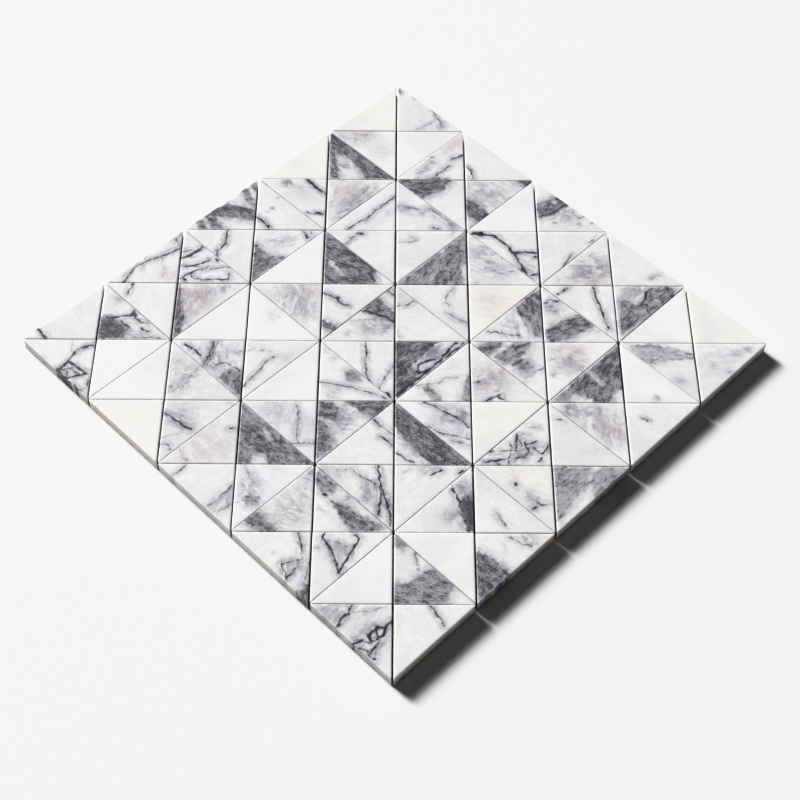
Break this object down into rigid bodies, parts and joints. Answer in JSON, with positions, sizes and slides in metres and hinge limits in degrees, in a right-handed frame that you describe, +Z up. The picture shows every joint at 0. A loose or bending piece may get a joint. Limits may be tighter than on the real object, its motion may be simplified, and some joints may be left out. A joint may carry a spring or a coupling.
{
  "type": "marble mosaic tile sheet",
  "caption": "Square sheet of right-angled marble triangles set in quartered squares with open joints on a glass-fibre net, for tiling walls and floors.",
  "frame": {"origin": "centre of the sheet's underside, on the lower strands of the net", "axes": "+Z up out of the honed face, +X and +Y along the sheet's edges; the picture looks from the -X -Y corner"},
  "size_m": [0.3048, 0.3048, 0.0081],
  "materials": {
    "marble": "honed white marble with grey-violet veins",
    "glass_net": "resin-coated glass-fibre net"
  },
  "bodies": {
    "root": {"triangles_row1_col1": "marble", "triangles_row1_col2": "marble", "triangles_row1_col3": "marble", "triangles_row1_col4": "marble", "triangles_row1_col5": "marble", "triangles_row2_col1": "marble", "triangles_row2_col2": "marble", "triangles_row2_col3": "marble", "triangles_row2_col4": "marble", "triangles_row2_col5": "marble", "triangles_row3_col1": "marble", "triangles_row3_col2": "marble", "triangles_row3_col3": "marble", "triangles_row3_col4": "marble", "triangles_row3_col5": "marble", "triangles_row4_col1": "marble", "triangles_row4_col2": "marble", "triangles_row4_col3": "marble", "triangles_row4_col4": "marble", "triangles_row4_col5": "marble", "triangles_row5_col1": "marble", "triangles_row5_col2": "marble", "triangles_row5_col3": "marble", "triangles_row5_col4": "marble", "triangles_row5_col5": "marble", "net_strands_x": "glass_net", "net_strands_y": "glass_net"}
  },
  "joints": []
}
